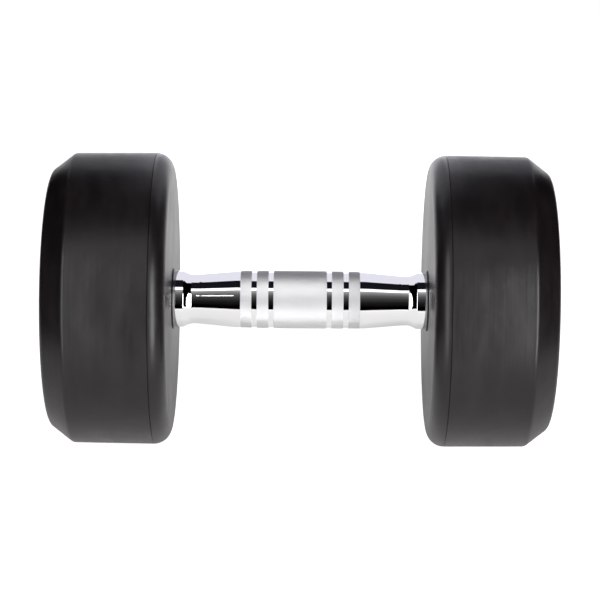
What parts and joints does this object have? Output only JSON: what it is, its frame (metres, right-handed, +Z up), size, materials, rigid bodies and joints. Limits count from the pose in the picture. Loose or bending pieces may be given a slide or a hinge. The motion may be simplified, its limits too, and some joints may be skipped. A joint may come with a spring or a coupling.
{
  "type": "rubber dumbbell",
  "caption": "Round-head rubber dumbbell: a contoured chrome bar with diamond-knurled bands, bolted and keyed into bevelled black rubber heads with steel cores.",
  "frame": {"origin": "middle of the bar, on its axis", "axes": "+X along the bar towards the right head, +Z up, -Y towards the viewer of the picture"},
  "size_m": [0.2746, 0.1616, 0.1616],
  "materials": {
    "bar_chrome": "polished plating",
    "jacket_rubber": "moulded, matte",
    "core_steel": "turned, raw",
    "fastener_steel": "black oxide",
    "cap_aluminium": "satin, turned",
    "tape_foam": "foam tape"
  },
  "bodies": {
    "root": {"handle": "bar_chrome", "left_head_core": "core_steel", "left_rubber_jacket": "jacket_rubber", "left_clamp_washer": "fastener_steel", "left_lock_washer": "fastener_steel", "left_clamp_bolt": "fastener_steel", "left_upper_key_pin": "fastener_steel", "left_lower_key_pin": "fastener_steel", "left_cap_tape": "tape_foam", "left_end_cap": "cap_aluminium", "right_head_core": "core_steel", "right_rubber_jacket": "jacket_rubber", "right_clamp_washer": "fastener_steel", "right_lock_washer": "fastener_steel", "right_clamp_bolt": "fastener_steel", "right_upper_key_pin": "fastener_steel", "right_lower_key_pin": "fastener_steel", "right_cap_tape": "tape_foam", "right_end_cap": "cap_aluminium"}
  },
  "joints": []
}
